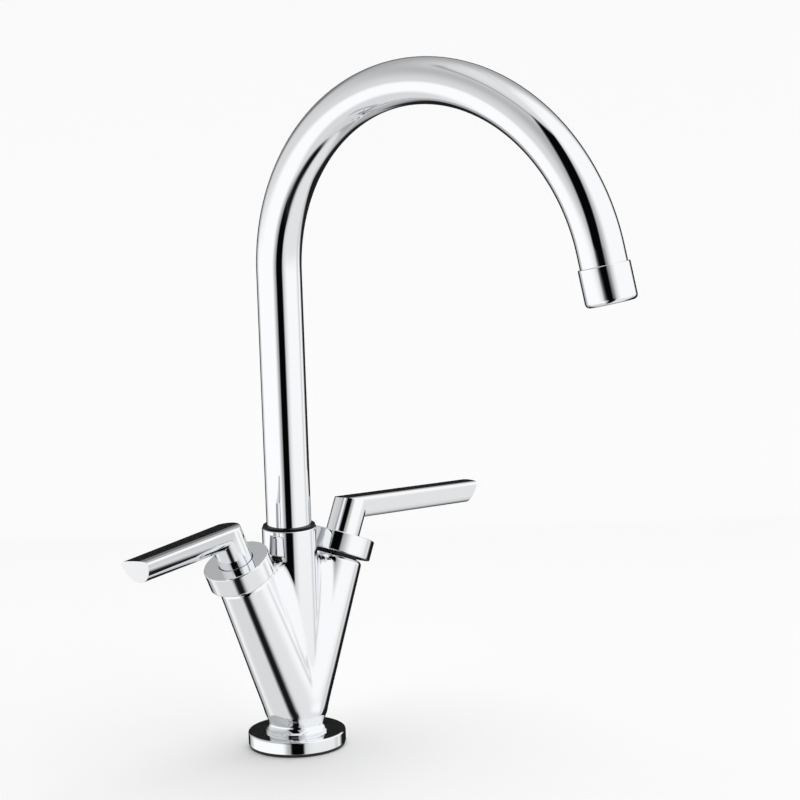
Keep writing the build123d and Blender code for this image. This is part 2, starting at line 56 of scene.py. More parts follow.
# Tolerances in millimetres: for a place on an edge, for doubles, and for a cut through a vertex.
NEAR = 0.01
DOUBLE = 1e-4
CUT = 1e-5

# Limits that keep the casting's fields from dividing by nothing.
TINY = 1e-6
MAX_COSINE = 0.999

# A (radius, height) place in a section, in millimetres.
Spot = tuple[float, float]

# The distances and the unit normals of a surface at many places.
Field = tuple[np.ndarray, np.ndarray]

# What a node's input can be fed with.
Value = float | tuple[float, ...] | NodeSocket


class Side(Enum):
    """The two sides of the tap; the value is the sign of X."""

    HOT = -1
    COLD = 1

    @property
    def label(self) -> str:
        """The side's name as its nodes begin."""
        return self.name.lower()


# ---------------------------------------------------------------- finishes


@dataclass(frozen=True)
class Nodes:
    """Adds nodes to a material or to the world.

    Args:
        tree: the node tree that gets them.
    """

    tree: NodeTree

    def feed(self, socket: NodeSocket, value: Value) -> None:
        """Links an input or sets its constant.

        Args:
            socket: the input.
            value: an output or a constant.
        """
        if isinstance(value, NodeSocket):
            self.tree.links.new(value, socket)
        else:
            socket.default_value = value

    def add(self, kind: str, output: str, inputs: dict[str | int, Value], **settings: str) -> NodeSocket:
        """Adds a node.

        Args:
            kind: the node's type.
            output: the output that is wanted.
            inputs: an output or a constant for each input, by its name or place.
            settings: the node's own settings.

        Returns:
            The wanted output.
        """
        node = self.tree.nodes.new(kind)
        for name, value in settings.items():
            setattr(node, name, value)
        for key, value in inputs.items():
            self.feed(node.inputs[key], value)
        return node.outputs[output]

    def noise(self, scale: float, detail: float) -> NodeSocket:
        """Returns a noise that is fixed to the object, by its cells per metre and its octaves."""
        place = self.add("ShaderNodeTexCoord", "Object", {})
        return self.add("ShaderNodeTexNoise", "Fac", {"Vector": place, "Scale": scale, "Detail": detail})


@dataclass(frozen=True)
class Finish(ABC):
    """What every finish shares: a colour, a roughness with its variation and a fine grain.

    Args:
        name: the material's name.
        colour: linear red, green and blue.
        roughness: the mean roughness.
        roughness_spread: how far the roughness wanders each way.
        patch: size of the roughness patches, in metres.
        grain: cells per metre of the surface's grain, 0 for none.
        grain_depth: depth of the grain in metres.
    """

    grain_strength: ClassVar[float]

    name: str
    colour: tuple[float, float, float]
    roughness: float
    roughness_spread: float
    patch: float
    grain: float = 0.0
    grain_depth: float = 0.0

    @abstractmethod
    def dress(self, shader: ShaderNode) -> None:
        """Sets what is special to the kind of finish on its Principled node."""

    def wire_patches(self, nodes: Nodes, shader: ShaderNode) -> None:
        """Lets the roughness wander in patches.

        Args:
            nodes: the material's nodes.
            shader: its Principled node.
        """
        low = max(self.roughness - self.roughness_spread, 0.0)
        high = self.roughness + self.roughness_spread
        noise = nodes.noise(1.0 / self.patch, detail=4.0)
        spread = nodes.add("ShaderNodeMapRange", "Result", {"Value": noise, "To Min": low, "To Max": high})
        nodes.feed(shader.inputs["Roughness"], spread)

    def wire_grain(self, nodes: Nodes, shader: ShaderNode) -> None:
        """Gives the surface its fine bumps.

        Args:
            nodes: the material's nodes.
            shader: its Principled node.
        """
        noise = nodes.noise(self.grain, detail=3.0)
        depth = {"Height": noise, "Strength": self.grain_strength, "Distance": self.grain_depth}
        nodes.feed(shader.inputs["Normal"], nodes.add("ShaderNodeBump", "Normal", depth))

    def make(self) -> Material:
        """Returns the finish as a node material, made once."""
        material = bpy.data.materials.get(self.name)
        if material is None:
            material = bpy.data.materials.new(self.name)
            material.use_nodes = True
            nodes = Nodes(material.node_tree)
            shader = nodes.tree.nodes["Principled BSDF"]
            shader.inputs["Base Color"].default_value = (*self.colour, 1.0)
            self.dress(shader)
            self.wire_patches(nodes, shader)
            if self.grain:
                self.wire_grain(nodes, shader)
        return material


@dataclass(frozen=True)
class Metal(Finish):
    """A bare or plated metal."""

    grain_strength = 0.3

    def dress(self, shader: ShaderNode) -> None:
        """Makes the shader metallic."""
        shader.inputs["Metallic"].default_value = 1.0


@dataclass(frozen=True)
class Moulded(Finish):
    """A moulded plastic, rubber or ceramic.

    Args:
        coat: weight of a clear gloss on top.
        sheen_level: how strongly the bare surface reflects, 0.5 being usual.
    """

    grain_strength = 0.4

    coat: float = 0.0
    sheen_level: float = 0.5

    def dress(self, shader: ShaderNode) -> None:
        """Adds the gloss."""
        shader.inputs["Coat Weight"].default_value = self.coat
        shader.inputs["Specular IOR Level"].default_value = self.sheen_level


CHROME = (0.885, 0.90, 0.92)
CHROME_CAST = Metal("chrome_on_cast_brass", CHROME, 0.06, 0.02, 0.012, 260.0, 0.0000015)
CHROME_TUBE = Metal("chrome_on_drawn_tube", CHROME, 0.03, 0.012, 0.03)
CHROME_LEVER = Metal("chrome_on_zinc_lever", CHROME, 0.035, 0.015, 0.015)
CHROME_TURNED = Metal("chrome_on_turned_ring", CHROME, 0.04, 0.015, 0.01)
# Painted shade: brass coloured near black so that the valve bodies and the shroud rings' insides and
# undersides read as the shade in the gaps under the rings.
SHADE_DARK_BRASS = Metal("brass_painted_dark_as_shade", (0.05, 0.045, 0.038), 0.5, 0.08, 0.004, 2500.0, 0.000004)
BRASS = Metal("turned_brass", (0.72, 0.53, 0.23), 0.28, 0.06, 0.004, 2500.0, 0.000004)
STEEL = Metal("stainless_screw_steel", (0.45, 0.45, 0.46), 0.32, 0.06, 0.002, 6000.0, 0.000004)
CERAMIC = Moulded("lapped_ceramic", (0.86, 0.85, 0.80), 0.25, 0.05, 0.004, 4000.0, 0.000002, 0.3)
RUBBER = Moulded("black_rubber", (0.018, 0.018, 0.019), 0.62, 0.08, 0.005, 2500.0, 0.00002)
BLACK_PLASTIC = Moulded(
    "black_bearing_plastic", (0.004, 0.004, 0.005), 0.35, 0.06, 0.004, 3000.0, 0.00001, sheen_level=0.12
)
PALE_PLASTIC = Moulded("pale_insert_plastic", (0.55, 0.57, 0.60), 0.42, 0.05, 0.003, 3000.0, 0.00001)
PALE_FLOOR = Moulded("pale_floor", (0.93, 0.93, 0.93), 0.7, 0.02, 0.2, 400.0, 0.00002)
BLACK_CARD = Moulded("black_card", (0.01, 0.01, 0.01), 0.9, 0.02, 0.1, 3000.0, 0.00001)


# ---------------------------------------------------------------- mesh tools


def only(kind: type, geom: Iterable) -> list:
    """Returns the items of one kind out of an operator's answer."""
    return [item for item in geom if isinstance(item, kind)]


def tidy_normals(bm: BMesh) -> None:
    """Merges doubles and turns every face outwards."""
    bmesh.ops.remove_doubles(bm, verts=bm.verts, dist=DOUBLE)
    bmesh.ops.recalc_face_normals(bm, faces=bm.faces)


def stepped(*steps: Spot) -> list[Spot]:
    """Returns a closed section of level and upright sides.

    Args:
        steps: for each step the radius that it goes to and then the height.

    Returns:
        The section's corners in order.
    """
    corners, before = [], steps[-1][1]
    for radius, height in steps:
        corners += [(radius, before), (radius, height)]
        before = height
    return corners


def lathe(outline: Sequence[Spot], steps: int = 192) -> BMesh:
    """Turns a closed outline about the Z axis.

    Args:
        outline: its corners in order round the section.
        steps: how many facets round the axis.

    Returns:
        A closed ring in millimetres.
    """
    bm = bmesh.new()
    corners = [bm.verts.new((radius, 0.0, height)) for radius, height in outline]
    for first, second in zip(corners, corners[1:] + corners[:1]):
        bm.edges.new((first, second))
    bmesh.ops.spin(
        bm,
        geom=bm.verts[:] + bm.edges[:],
        cent=(0, 0, 0),
        axis=(0, 0, 1),
        angle=math.tau,
        steps=steps,
        use_merge=True,
    )
    tidy_normals(bm)
    return bm


def rod(
    bm: BMesh, radius: float, length: float, at: Matrix, segments: int, end_r: float | None = None
) -> None:
    """Adds a round rod.

    Args:
        bm: the mesh that gets it.
        radius: the rod's radius, or that of its low end.
        length: the rod's length.
        at: the frame of its middle, with Z along it.
        segments: how many facets it gets.
        end_r: the radius of its high end, if it tapers.
    """
    top_r = radius if end_r is None else end_r
    bmesh.ops.create_cone(
        bm, cap_ends=True, segments=segments, radius1=radius, radius2=top_r, depth=length, matrix=at
    )


def extrude(
    bm: BMesh, faces: Sequence[BMFace], way: Sequence[float]
) -> tuple[list[BMVert], list[BMFace]]:
    """Extrudes faces along a straight way and keeps them.

    Args:
        bm: the mesh.
        faces: the faces to extrude.
        way: how far they go.

    Returns:
        The new vertices and the new end faces.
    """
    grown = bmesh.ops.extrude_face_region(bm, geom=faces)["geom"]
    verts = only(BMVert, grown)
    bmesh.ops.translate(bm, vec=way, verts=verts)
    return verts, only(BMFace, grown)


def bevel(bm: BMesh, edges: Sequence[BMEdge], size: float, segments: int, clamp: bool = False) -> None:
    """Rounds edges.

    Args:
        bm: the mesh, in millimetres.
        edges: the edges.
        size: the rounding's radius.
        segments: how many facets it gets.
        clamp: whether neighbouring roundings stop each other.
    """
    bmesh.ops.bevel(
        bm,
        geom=edges,
        offset=size,
        offset_type="OFFSET",
        segments=segments,
        profile=0.5,
        affect="EDGES",
        material=-1,
        clamp_overlap=clamp,
    )


def round_rims(bm: BMesh, *rims: tuple[float, float, float, int]) -> None:
    """Rounds circular edges of a turned piece.

    Args:
        bm: the turned piece, in millimetres on the Z axis.
        rims: each edge's radius and height, its rounding's radius and how many facets that gets.
    """
    for radius, height, size, segments in rims:
        rim = [
            edge
            for edge in bm.edges
            if all(math.dist((vert.co.xy.length, vert.co.z), (radius, height)) < NEAR for vert in edge.verts)
        ]
        bevel(bm, rim, size, segments)


def cut_off(bm: BMesh, geom: list, at: Vector, outwards: Vector) -> list[BMEdge]:
    """Cuts away what lies beyond a plane.

    Args:
        bm: the mesh.
        geom: the vertices, edges and faces that the plane may cut.
        at: a place on the plane.
        outwards: the plane's normal.

    Returns:
        The edges round the cut.
    """
    cut = bmesh.ops.bisect_plane(
        bm, geom=geom, dist=CUT, plane_co=at, plane_no=outwards, clear_outer=True, clear_inner=False
    )
    return only(BMEdge, cut["geom_cut"])


def relax(bm: BMesh, verts: Iterable[BMVert]) -> None:
    """Moves vertices half way to the middle of their neighbours."""
    bmesh.ops.smooth_vert(bm, verts=verts, factor=0.5, use_axis_x=True, use_axis_y=True, use_axis_z=True)


def circle_centre(first: Vector, second: Vector, third: Vector) -> Vector:
    """Finds the circle through three places in the plane.

    Args:
        first: one place.
        second: another place.
        third: the last place.

    Returns:
        The circle's centre.
    """
    side, other = second - first, third - first
    cross = 2 * (side.x * other.y - side.y * other.x)
    x = (other.y * side.length_squared - side.y * other.length_squared) / cross
    y = (side.x * other.length_squared - other.x * side.length_squared) / cross
    return first + Vector((x, y))


def arc_through(start: Spot, middle: Spot, end: Spot, steps: int) -> list[Spot]:
    """Divides the arc through three places.

    Args:
        start: where the arc begins.
        middle: a place on the way.
        end: where it ends.
        steps: how many chords it gets.

    Returns:
        The chords' ends in order.
    """
    first, second, third = Vector(start), Vector(middle), Vector(end)
    hub = circle_centre(first, second, third)
    radius = (first - hub).length
    begin = math.atan2(*(first - hub).yx)
    sweep = math.remainder(math.atan2(*(third - hub).yx) - begin, math.tau)
    turns = [begin + sweep * step / steps for step in range(steps + 1)]
    return [(hub.x + radius * math.cos(turn), hub.y + radius * math.sin(turn)) for turn in turns]


def soft_corner(start: Spot, corner: Spot, end: Spot, steps: int) -> list[Spot]:
    """Rounds a corner with a soft curve.

    Args:
        start: where the curve leaves the first side.
        corner: the corner.
        end: where the curve joins the second side.
        steps: how many chords it gets.

    Returns:
        The chords' ends in order.
    """
    first, middle, last = Vector(start), Vector(corner), Vector(end)
    shares = [step / steps for step in range(steps + 1)]
    return [tuple(first.lerp(middle, share).lerp(middle.lerp(last, share), share)) for share in shares]


def quarter_round(radius: float, height: float, size: float, steps: int) -> list[Spot]:
    """Returns places up a rounded shoulder that ends at a height."""
    turns = [math.pi / 2 * step / steps for step in range(steps + 1)]
    return [(radius - size + size * math.cos(turn), height - size + size * math.sin(turn)) for turn in turns]


def axes(x: Vector, y: Vector, z: Vector, at: Sequence[float]) -> Matrix:
    """Returns the frame that has these axes and this origin."""
    return Matrix.Translation(at) @ Matrix((x, y, z)).transposed().to_4x4()


def bmesh_of(mesh: Mesh) -> BMesh:
    """Copies a mesh.

    Args:
        mesh: the mesh.

    Returns:
        Its copy as a bmesh.
    """
    bm = bmesh.new()
    bm.from_mesh(mesh)
    return bm


def scratch_object(bm: BMesh, name: str) -> Object:
    """Makes a plain object of a bmesh.

    Args:
        bm: the bmesh, which is freed.
        name: the object's name.

    Returns:
        The object, linked to the scene.
    """
    mesh = bpy.data.meshes.new(name)
    bm.to_mesh(mesh)
    bm.free()
    made = bpy.data.objects.new(name, mesh)
    bpy.context.scene.collection.objects.link(made)
    return made


def drill(radius: float, length: float, at: Matrix, segments: int = 48) -> Object:
    """Makes a round rod to bore with.

    Args:
        radius: the rod's radius.
        length: its length.
        at: the frame of its middle, with Z along it.
        segments: how many facets it gets.

    Returns:
        The rod's object.
    """
    bm = bmesh.new()
    rod(bm, radius, length, at, segments)
    return scratch_object(bm, "drill")


def apply_modifiers(target: Object) -> None:
    """Bakes modifiers.

    Args:
        target: the object whose modifiers go into its mesh.
    """
    bpy.context.view_layer.update()
    graph = bpy.context.evaluated_depsgraph_get()
    mesh = bpy.data.meshes.new_from_object(target.evaluated_get(graph))
    target.modifiers.clear()
    target.data = mesh


def boolean(target: Object, tool: Object, operation: str = "DIFFERENCE") -> None:
    """Joins a tool to a target, or cuts it away, and removes the tool.

    Args:
        target: the object that is changed.
        tool: the object that is used up.
        operation: UNION or DIFFERENCE.
    """
    step = target.modifiers.new("boolean", "BOOLEAN")
    step.operation = operation
    step.solver = "EXACT"
    step.object = tool
    apply_modifiers(target)
    bpy.data.objects.remove(tool)


def mark_sharp(mesh: Mesh, angle_deg: float) -> None:
    """Shades a mesh smooth except at its sharp edges.

    Args:
        mesh: the mesh.
        angle_deg: the angle in degrees from which an edge is sharp.
    """
    bm = bmesh_of(mesh)
    limit = math.radians(angle_deg)
    for face in bm.faces:
        face.smooth = True
    for edge in bm.edges:
        edge.smooth = not (len(edge.link_faces) == 2 and edge.calc_face_angle() > limit)
    bm.to_mesh(mesh)
    bm.free()


@dataclass(frozen=True)
class PieceOrder:
    """What a finished piece needs besides its mesh.

    Args:
        name: the piece's name.
        body: the body that it rides on.
        finish: its finish.
        slot: the record's material slot; not used.
        node: the CAD node that it stands for.
        inner_finish: the finish of faces with material index 1, if it has any.
        sharp_deg: edges sharper than this stay sharp.
        normal_weight: how evenly large and small faces count in the shading, 50 being evenly.
    """

    name: str
    body: str
    finish: Finish
    slot: str
    node: str
    inner_finish: Finish | None = None
    sharp_deg: float = 35.0
    normal_weight: int = 50


def finish_piece(made: Object, order: PieceOrder) -> None:
    """Shades and dresses a piece, attaches it to its body and hides the CAD node that it stands for.

    Args:
        made: the piece's object at the origin, with its mesh in metres and in place.
        order: what it is and what it stands for.
    """
    made.name = order.name
    made.data.name = order.name
    mark_sharp(made.data, order.sharp_deg)
    weights = made.modifiers.new("even normals", "WEIGHTED_NORMAL")
    weights.keep_sharp = True
    weights.weight = order.normal_weight
    made.data.materials.clear()
    for finish in filter(None, (order.finish, order.inner_finish)):
        made.data.materials.append(finish.make())
    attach(made, order.body)
    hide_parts(order.node)
    LOG.info("%s: %d faces on %s", order.name, len(made.data.polygons), order.body)


def placed_piece(bm: BMesh, at: Matrix, order: PieceOrder) -> None:
    """Brings a millimetre mesh to its frame and to metres and finishes it as a piece."""
    bmesh.ops.transform(bm, matrix=METRES @ at, verts=bm.verts)
    finish_piece(scratch_object(bm, order.name), order)


# ---------------------------------------------------------------- shared sizes


@dataclass(frozen=True)
class TapSizes:
    """The sizes in millimetres that more than one sub-assembly uses."""

    flange_top: float = 7.7
    root_z: float = 19.4
    post_r: float = 13.3
    post_top: float = 110.1
    arm_tilt: float = 23.85
    arm_len: float = 76.8
    tube_r: float = 10.94
    spout_swing: float = 7.4


SIZES = TapSizes()
ROOT = (0.0, 0.0, SIZES.root_z)
UPRIGHT = Matrix.Identity(4)


def arm_way(side: Side) -> tuple[float, float, float]:
    """Returns the direction of an arm's axis."""
    lean = math.radians(SIZES.arm_tilt)
    return side.value * math.sin(lean), 0.0, math.cos(lean)


def arm_frame(side: Side) -> Matrix:
    """Finds an arm's own frame.

    Args:
        side: the arm's side.

    Returns:
        The frame, with Z along the arm from the post's axis and X outwards.
    """
    lean = math.radians(SIZES.arm_tilt)
    along = Vector(arm_way(side))
    outwards = Vector((side.value * math.cos(lean), 0, -math.sin(lean)))
    return axes(outwards, along.cross(outwards), along, ROOT)


# ---------------------------------------------------------------- base


@dataclass(frozen=True)
class Base:
    """The round flange and the rubber ring under it."""

    flange_r: float = 24.0
    flange_low: float = 1.5
    flange_wall: float = 2.2
    bore_r: float = 12.6
    edge_round: float = 0.8
    low_round: float = 0.3
    gasket_r: float = 23.5
    gasket_w: float = 10.2
    gasket_round: float = 0.25

    def flange(self) -> None:
        """Builds the chrome flange, hollow below."""
        low, top, wall = self.flange_low, SIZES.flange_top, self.flange_wall
        hollow = (self.flange_r - wall, top - wall), (self.bore_r + wall, low)
        bm = lathe(stepped((self.bore_r, top), (self.flange_r, low), *hollow))
        round_rims(bm, (self.flange_r, top, self.edge_round, 6), (self.flange_r, low, self.low_round, 3))
        order = PieceOrder("flange", "tap_body", CHROME_TURNED, "chrome_body", "base_flange")
        placed_piece(bm, UPRIGHT, order)

    def gasket(self) -> None:
        """Builds the rubber ring."""
        bore = (self.gasket_r - self.gasket_w, self.flange_low)
        bm = lathe(stepped(bore, (self.gasket_r, 0)), steps=128)
        round_rims(bm, (self.gasket_r, 0, self.gasket_round, 3))
        placed_piece(bm, UPRIGHT, PieceOrder("gasket", "tap_body", RUBBER, "black_rubber", "base_gasket"))

    def build(self) -> None:
        """Builds both pieces."""
        self.flange()
        self.gasket()


# ---------------------------------------------------------------- body casting


def chosen(mask: np.ndarray, first: Field, second: Field) -> Field:
    """Returns one field where a mask is true and another elsewhere."""
    return np.where(mask, first[0], second[0]), np.where(mask[:, None], first[1], second[1])


def nearest(first: Field, second: Field) -> Field:
    """Joins two fields without a fillet."""
    return chosen(first[0] < second[0], first, second)


def capped(whole: Field, cap: Field) -> Field:
    """Keeps of a field only what is also within a cap's plane."""
    return chosen(cap[0] > whole[0], cap, whole)


def spokes(offset: np.ndarray) -> Field:
    """Returns the lengths and the directions of vectors."""
    reach = np.linalg.norm(offset, axis=1)
    return reach, offset / np.maximum(reach, TINY)[:, None]


def rolled(first: Field, second: Field, crease: np.ndarray | float) -> Field:
    """Joins two fields with a rolled ball's fillet.

    Args:
        first: one field.
        second: the other field.
        crease: the ball's radius, which may differ from place to place.

    Returns:
        The joined field.
    """
    (one, normal_one), (two, normal_two) = first, second
    cosine = np.clip(np.sum(normal_one * normal_two, axis=1), -MAX_COSINE, MAX_COSINE)
    depth_one, depth_two = one - crease, two - crease
    spread = 1.0 - cosine**2
    share_one = (depth_one - cosine * depth_two) / spread
    share_two = (depth_two - cosine * depth_one) / spread
    reach, ray = spokes(share_one[:, None] * normal_one + share_two[:, None] * normal_two)
    inside = (share_one < 0) & (share_two < 0)
    return chosen(inside, (crease - reach, -ray), nearest(first, second))


@dataclass(frozen=True)
class Casting:
    """The one brass casting: post, two arms, the ball where they meet and the flared foot."""

    arm_root_r: float = 15.4
    arm_top_r: float = 13.0
    arm_shoulder: float = 2.4
    arm_bore_r: float = 9.95
    arm_bore_depth: float = 13.0
    post_edge: float = 0.4
    post_bore_r: float = 12.1
    post_bore_depth: float = 6.0
    crease: float = 4.2
    flank_crease: float = 7.8
    flank_reach: float = 11.0
    web_top: float = 73.9
    web_round: float = 1.6
    web_reach: float = 19.0
    web_width: float = 9.0
    web_length: float = 28.0
    neck_z: float = 12.6
    neck_reach: float = 0.7
    lip_r: float = 15.5
    lip_t: float = 1.2
    lip_round: float = 0.15
    bend_out_share: float = 0.25
    bend_up_share: float = 0.35
    spigot_r: float = 12.5
    spigot_low: float = 3.0
    inlet_x: float = 6.5
    inlet_r: float = 4.5
    inlet_depth: float = 11.0
    stud_y: float = 8.5
    stud_r: float = 2.5
    stud_depth: float = 12.0
    screw_y: float = 14.0
    screw_z: float = 89.0
    screw_r: float = 2.5
    screw_len: float = 10.0
    voxel: float = 0.62
    settle_rounds: int = 3
    draw_steps: int = 14
    draw_share: float = 0.6
    reach_past: float = 1.0
    overrun: float = 4.0
    soften_steps: int = 40
    soften_full_z: float = 24.0
    soften_none_z: float = 36.0
    neck_soften_steps: int = 24
    neck_soften_reach: float = 3.4

    @property
    def slope(self) -> float:
        """The angle in radians by which the arms taper."""
        return math.atan((self.arm_root_r - self.arm_top_r) / SIZES.arm_len)

    @property
    def ball_r(self) -> float:
        """The radius of the root ball, which both arms leave smoothly."""
        return self.arm_root_r * math.cos(self.slope)

    @property
    def above_neck(self) -> float:
        """The height at which the foot's hollow begins."""
        return self.neck_z + self.neck_reach

    def ball_reach(self, height: float) -> float:
        """Returns the root ball's radius at a height."""
        return math.sqrt(self.ball_r**2 - (SIZES.root_z - height) ** 2)

    def arm_field(self, points: np.ndarray, side: Side) -> tuple[Field, Field]:
        """Measures the distances from one tapered arm.

        Args:
            points: places in millimetres.
            side: the arm's side.

        Returns:
            The endless cone's field, and the field of the cone that starts at the root ball.
        """
        along = np.array(arm_way(side))
        offset = points - ROOT
        station = offset @ along
        reach, away = spokes(offset - station[:, None] * along)
        distance = (reach - (self.arm_root_r - math.tan(self.slope) * station)) * math.cos(self.slope)
        cone = distance, away * math.cos(self.slope) + along * math.sin(self.slope)
        return cone, capped(cone, (self.ball_r * math.sin(self.slope) - station, -along))

    def arms_field(self, points: np.ndarray) -> Field:
        """Joins both arms, with a fillet only where both cones are real.

        Args:
            points: places in millimetres.

        Returns:
            The arms' field.
        """
        (hot, hot_real), (cold, cold_real) = (self.arm_field(points, side) for side in Side)
        real = (hot[0] == hot_real[0]) & (cold[0] == cold_real[0])
        return chosen(real, rolled(hot, cold, self.crease_at(points)), nearest(hot_real, cold_real))

    def post_field(self, points: np.ndarray) -> Field:
        """Measures the distances from the post.

        Args:
            points: places in millimetres.

        Returns:
            The post's field.
        """
        reach, away = spokes(points * (1.0, 1.0, 0.0))
        below = SIZES.root_z - points[:, 2]
        return capped((reach - SIZES.post_r, away), (below, np.array((0.0, 0.0, -1.0))))

    def ball_field(self, points: np.ndarray) -> Field:
        """Returns the root ball's field."""
        reach, away = spokes(points - ROOT)
        return reach - self.ball_r, away

    def crease_at(self, points: np.ndarray) -> np.ndarray:
        """Returns the fillets' radius at places: narrow between post and arms, wide on the flanks."""
        share = np.minimum(np.abs(points[:, 1]) / self.flank_reach, 1.0)
        return self.crease + (self.flank_crease - self.crease) * share**2 * (3 - 2 * share)

    def faced(self, web: Field, points: np.ndarray) -> Field:
        """Faces the webs between post and arms off, square to the arms, with a rounded edge.

        Args:
            web: the field of the filleted post and arms.
            points: places in millimetres.

        Returns:
            The faced field.
        """
        along = np.where(points[:, :1] < 0, arm_way(Side.HOT), arm_way(Side.COLD))
        above = np.sum((points - ROOT) * along, axis=1) - self.web_top
        distance, normal = rolled((-web[0], -web[1]), (-above, -along), self.web_round)
        return -distance, -normal

    def surface(self, points: np.ndarray) -> Field:
        """Joins the casting's forms, with its creases filleted.

        Args:
            points: places in millimetres.

        Returns:
            The casting's field.
        """
        arms, post = self.arms_field(points), self.post_field(points)
        web = self.faced(rolled(arms, post, self.crease_at(points)), points)
        return nearest(nearest(web, arms), nearest(post, self.ball_field(points)))

    def rough(self) -> BMesh:
        """Returns the plain primitives, fused by a voxel remesh, in millimetres."""
        bm = bmesh.new()
        root = Matrix.Translation(ROOT)
        bmesh.ops.create_uvsphere(bm, u_segments=96, v_segments=48, radius=self.ball_r, matrix=root)
        post_len = SIZES.post_top + self.overrun - SIZES.root_z
        middle = Matrix.Translation((0, 0, SIZES.root_z + post_len / 2))
        rod(bm, SIZES.post_r, post_len, middle, segments=128)
        arm_len = SIZES.arm_len + self.overrun
        web_size = Matrix.Diagonal((self.web_reach, self.web_width, self.web_length, 1.0))
        web_middle = Matrix.Translation((-self.web_reach / 2, 0, self.web_top - self.web_length / 2))
        for side in Side:
            middle = arm_frame(side) @ Matrix.Translation((0, 0, arm_len / 2))
            rod(bm, self.arm_root_r, arm_len, middle, segments=128, end_r=self.arm_top_r)
            bmesh.ops.create_cube(bm, size=1.0, matrix=arm_frame(side) @ web_middle @ web_size)
        made = scratch_object(bm, "casting_rough")
        remesh = made.modifiers.new("fuse", "REMESH")
        remesh.mode = "VOXEL"
        remesh.voxel_size = self.voxel
        apply_modifiers(made)
        fused = bmesh_of(made.data)
        bpy.data.objects.remove(made)
        return fused

    def settle(self, bm: BMesh) -> None:
        """Relaxes the fused mesh and draws every vertex onto the casting's true surface.

        Args:
            bm: the fused mesh in millimetres.
        """
        for _ in range(self.settle_rounds):
            relax(bm, bm.verts)
            points = np.array([vert.co for vert in bm.verts])
            for _ in range(self.draw_steps):
                distance, normal = self.surface(points)
                points -= self.draw_share * distance[:, None] * normal
            for vert, point in zip(bm.verts, points):
                vert.co = point

    def soften_root(self, bm: BMesh) -> None:
        """Polishes the root, where the arms run into the ball, and fades out up the arms.

        Args:
            bm: the casting in millimetres.
        """
        for step in range(self.soften_steps):
            limit = self.soften_full_z + (self.soften_none_z - self.soften_full_z) * step / self.soften_steps
            relax(bm, [vert for vert in bm.verts if vert.co.z < limit])

    def soften_neck(self, bm: BMesh) -> None:
        """Polishes the crease between the root and the foot's hollow, and fades out from it.

        Args:
            bm: the casting in millimetres.
        """
        for step in range(self.neck_soften_steps):
            limit = self.neck_soften_reach * (1 - step / (2 * self.neck_soften_steps))
            relax(bm, [vert for vert in bm.verts if abs(vert.co.z - self.above_neck) < limit])

    def draw_rings(self, bm: BMesh, at: Matrix, rings: Sequence[Spot]) -> None:
        """Cuts the casting square to an axis and draws the cut edge out in rings.

        Args:
            bm: the casting in millimetres.
            at: the axis's frame, with Z along it.
            rings: radius and place along the axis of each ring; the first is where the cut is.
        """
        axis = at.to_3x3() @ Vector((0, 0, 1))
        cut_at = at @ Vector((0, 0, rings[0][1]))
        span = rings[0][0] + self.reach_past
        near = [face for face in bm.faces if (at.inverted() @ face.calc_center_median()).xy.length < span]
        parts = [part for face in near for part in (*face.verts, *face.edges, face)]
        loop = cut_off(bm, list(dict.fromkeys(parts)), cut_at, axis)
        self.snap_ring(loop, at, rings[0])
        for ring in rings[1:]:
            loop = only(BMEdge, bmesh.ops.extrude_edge_only(bm, edges=loop)["geom"])
            self.snap_ring(loop, at, ring)
        bmesh.ops.contextual_create(bm, geom=loop)

    @staticmethod
    def snap_ring(loop: Sequence[BMEdge], at: Matrix, ring: Spot) -> None:
        """Puts a loop's vertices on a circle round an axis.

        Args:
            loop: the loop's edges.
            at: the axis's frame.
            ring: the circle's radius and its place along the axis.
        """
        radius, station = ring
        back = at.inverted()
        for vert in {vert for edge in loop for vert in edge.verts}:
            outwards = (back @ vert.co).xy.normalized() * radius
            vert.co = at @ Vector((*outwards, station))

    def foot_rings(self) -> list[Spot]:
        """Returns (radius, height) down the foot, from the neck to the spigot's end."""
        low_edge = SIZES.flange_top
        lip_top = low_edge + self.lip_t
        rim_r = self.lip_r - self.lip_round
        neck_r = self.ball_reach(self.neck_z)
        bend = (
            neck_r + (self.lip_r - neck_r) * self.bend_out_share,
            lip_top + (self.neck_z - lip_top) * self.bend_up_share,
        )
        above = (self.ball_reach(self.above_neck), self.above_neck)
        flare = arc_through((neck_r, self.neck_z), bend, (rim_r, lip_top), steps=12)
        hollow = soft_corner(above, flare[0], flare[2], steps=6)
        rim = [(self.lip_r, lip_top - self.lip_round), (self.lip_r, low_edge + self.lip_round)]
        spigot = [(self.spigot_r, low_edge), (self.spigot_r, self.spigot_low)]
        return [*hollow, *flare[3:], *rim, (rim_r, low_edge), *spigot]

    def shape_ends(self, bm: BMesh) -> None:
        """Gives the arms and the post their shoulders and bores, and the root its foot.

        Args:
            bm: the casting in millimetres.
        """
        top_s = SIZES.arm_len
        shoulder_r = self.arm_top_r + self.arm_shoulder * math.tan(self.slope)
        shoulder = quarter_round(shoulder_r, top_s, self.arm_shoulder, steps=6)
        bore = [(self.arm_bore_r, top_s), (self.arm_bore_r, top_s - self.arm_bore_depth)]
        for side in Side:
            self.draw_rings(bm, arm_frame(side), shoulder + bore)
        top_z = SIZES.post_top
        mouth = quarter_round(SIZES.post_r, top_z, self.post_edge, steps=4)
        socket = [(self.post_bore_r, top_z), (self.post_bore_r, top_z - self.post_bore_depth)]
        self.draw_rings(bm, UPRIGHT, mouth + socket)
        down = Matrix.Rotation(math.pi, 4, "X")
        self.draw_rings(bm, down, [(radius, -height) for radius, height in self.foot_rings()])

